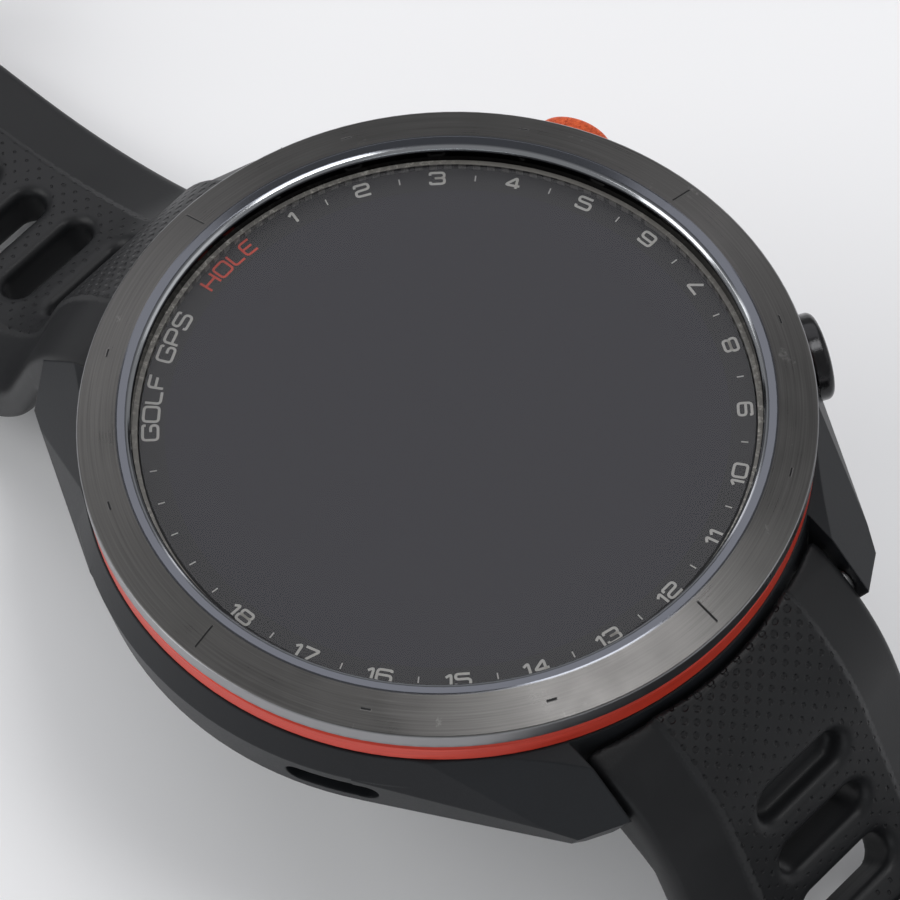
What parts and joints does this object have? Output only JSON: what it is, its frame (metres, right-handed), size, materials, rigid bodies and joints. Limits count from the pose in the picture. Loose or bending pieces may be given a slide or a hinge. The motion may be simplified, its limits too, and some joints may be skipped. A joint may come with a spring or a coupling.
{
  "type": "golf watch",
  "caption": "Round golf GPS watch with a numbered lens ring, side buttons and a slotted rubber strap in halves, lying open with its buckle and tail flat.",
  "frame": {"origin": "centre of the flat face of the sensor window on the back of the case", "axes": "+Z out of the dial, +Y towards 12 o'clock and the buckle, +X towards 3 o'clock and the buttons"},
  "size_m": [0.0489, 0.2415, 0.0271],
  "materials": {
    "case": "fine matt, fibre-filled polymer",
    "bezel": "dark coating, brushed round the ring",
    "accent": "satin red, anodised look",
    "gasket": "matt",
    "cover_glass": "polished, dark print under it",
    "adhesive": "matt",
    "display": "switched off",
    "carrier": "moulded",
    "antenna": "stamped",
    "board": "solder mask",
    "cell": "foil pouch",
    "motor": "plated can",
    "membrane": "breathable film",
    "case_back": "fine matt",
    "screws": "dark plated",
    "sensor_glass": "polished, dark tint",
    "port_plate": "moulded",
    "contacts": "gold plated",
    "pins": "turned",
    "strap": "matt silicone",
    "latch": "stamped",
    "buckle": "dark coating, brushed",
    "action_button": "bead blasted, orange anodised",
    "menu_button": "polished black",
    "switch": "moulded"
  },
  "bodies": {
    "watch_case": {"case_body": "case", "bezel_ring": "bezel", "accent_ring": "accent", "bezel_gasket": "gasket", "lens": "cover_glass", "lens_adhesive": "adhesive", "display_panel": "display", "display_frame": "carrier", "antenna_ring": "antenna", "main_board": "board", "battery": "cell", "vibration_motor": "motor", "vent_membrane": "membrane", "back_cover": "case_back", "back_gasket": "gasket", "back_screws": "screws", "sensor_window": "sensor_glass", "sensor_board": "board", "charge_port": "port_plate", "charge_contacts": "contacts", "lug_pin_12": "pins", "lug_pin_6": "pins", "action_button_seal": "gasket", "action_tact_switch": "switch", "menu_button_seal": "gasket", "menu_tact_switch": "switch"},
    "action_button": {"action_button_cap": "action_button", "action_button_clip": "pins"},
    "menu_button": {"menu_button_cap": "menu_button", "menu_button_clip": "pins"},
    "strap_half_12": {"strap_12": "strap", "keeper_fixed": "strap"},
    "strap_half_6": {"strap_6": "strap"},
    "latch_slide_12": {"latch_12": "latch"},
    "latch_slide_6": {"latch_6": "latch"},
    "buckle": {"buckle_frame": "buckle", "buckle_pin": "pins"},
    "tongue": {"buckle_tongue": "buckle"},
    "loose_keeper": {"keeper_sliding": "strap"}
  },
  "joints": [
    {"name": "action_button_press", "type": "slide", "parent": "watch_case", "child": "action_button", "axis": [-0.91, -0.4147, 0], "range_m": [0, 0.0005], "stiffness_N_per_m": 800},
    {"name": "menu_button_press", "type": "slide", "parent": "watch_case", "child": "menu_button", "axis": [-0.8704, 0.4924, 0], "range_m": [0, 0.0005], "stiffness_N_per_m": 800},
    {"name": "strap_12_swing", "type": "hinge", "parent": "watch_case", "child": "strap_half_12", "pos_m": [0, 0.0237, 0.0051], "axis": [-1, 0, 0], "range_deg": [0, 40]},
    {"name": "strap_6_swing", "type": "hinge", "parent": "watch_case", "child": "strap_half_6", "pos_m": [0, -0.0237, 0.0051], "axis": [1, 0, 0], "range_deg": [0, 40]},
    {"name": "latch_12_slide", "type": "slide", "parent": "strap_half_12", "child": "latch_slide_12", "axis": [0, 0.6428, -0.766], "range_m": [0, 0.0018], "stiffness_N_per_m": 400},
    {"name": "latch_6_slide", "type": "slide", "parent": "strap_half_6", "child": "latch_slide_6", "axis": [0, -0.6428, -0.766], "range_m": [0, 0.0018], "stiffness_N_per_m": 400},
    {"name": "buckle_swing", "type": "hinge", "parent": "strap_half_12", "child": "buckle", "pos_m": [0, 0.092, -0.0105], "axis": [1, 0, 0], "range_deg": [-60, 70]},
    {"name": "tongue_swing", "type": "hinge", "parent": "buckle", "child": "tongue", "pos_m": [0, 0.092, -0.0105], "axis": [1, 0, 0], "range_deg": [0, 55]},
    {"name": "keeper_slide", "type": "slide", "parent": "strap_half_12", "child": "loose_keeper", "axis": [0, 1, 0], "range_m": [-0.009, 0.01]}
  ]
}
